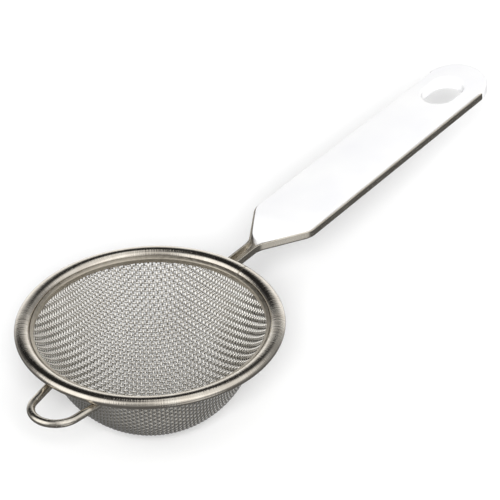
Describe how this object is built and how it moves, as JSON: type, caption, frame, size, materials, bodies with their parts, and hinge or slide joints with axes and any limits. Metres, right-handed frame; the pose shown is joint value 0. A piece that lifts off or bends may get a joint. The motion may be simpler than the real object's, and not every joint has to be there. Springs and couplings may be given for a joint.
{
  "type": "tea strainer",
  "caption": "Hand-held tea strainer: woven wire bowl in a rolled steel rim, wire rest loop opposite the handle, flat white grip with a hanging hole.",
  "frame": {"origin": "centre of the round mouth, at the upper end of its straight wall, level with the middle of the rolled bead", "axes": "+X along the handle, away from the bowl; +Z out of the mouth along the bowl's axis; +Y across the handle"},
  "size_m": [0.1894, 0.07, 0.0301],
  "materials": {
    "rim_steel": "polished stainless steel",
    "band_steel": "dull stainless steel",
    "mesh_wire": "bright drawn wire",
    "loop_steel": "polished stainless wire",
    "channel_steel": "pressed stainless sheet",
    "white_grip": "glossy moulded plastic"
  },
  "bodies": {
    "root": {"rim_bead": "rim_steel", "clamp_band": "band_steel", "mesh_basket": "mesh_wire", "rest_loop": "loop_steel", "handle_channel": "channel_steel", "handle_grip": "white_grip"}
  },
  "joints": []
}
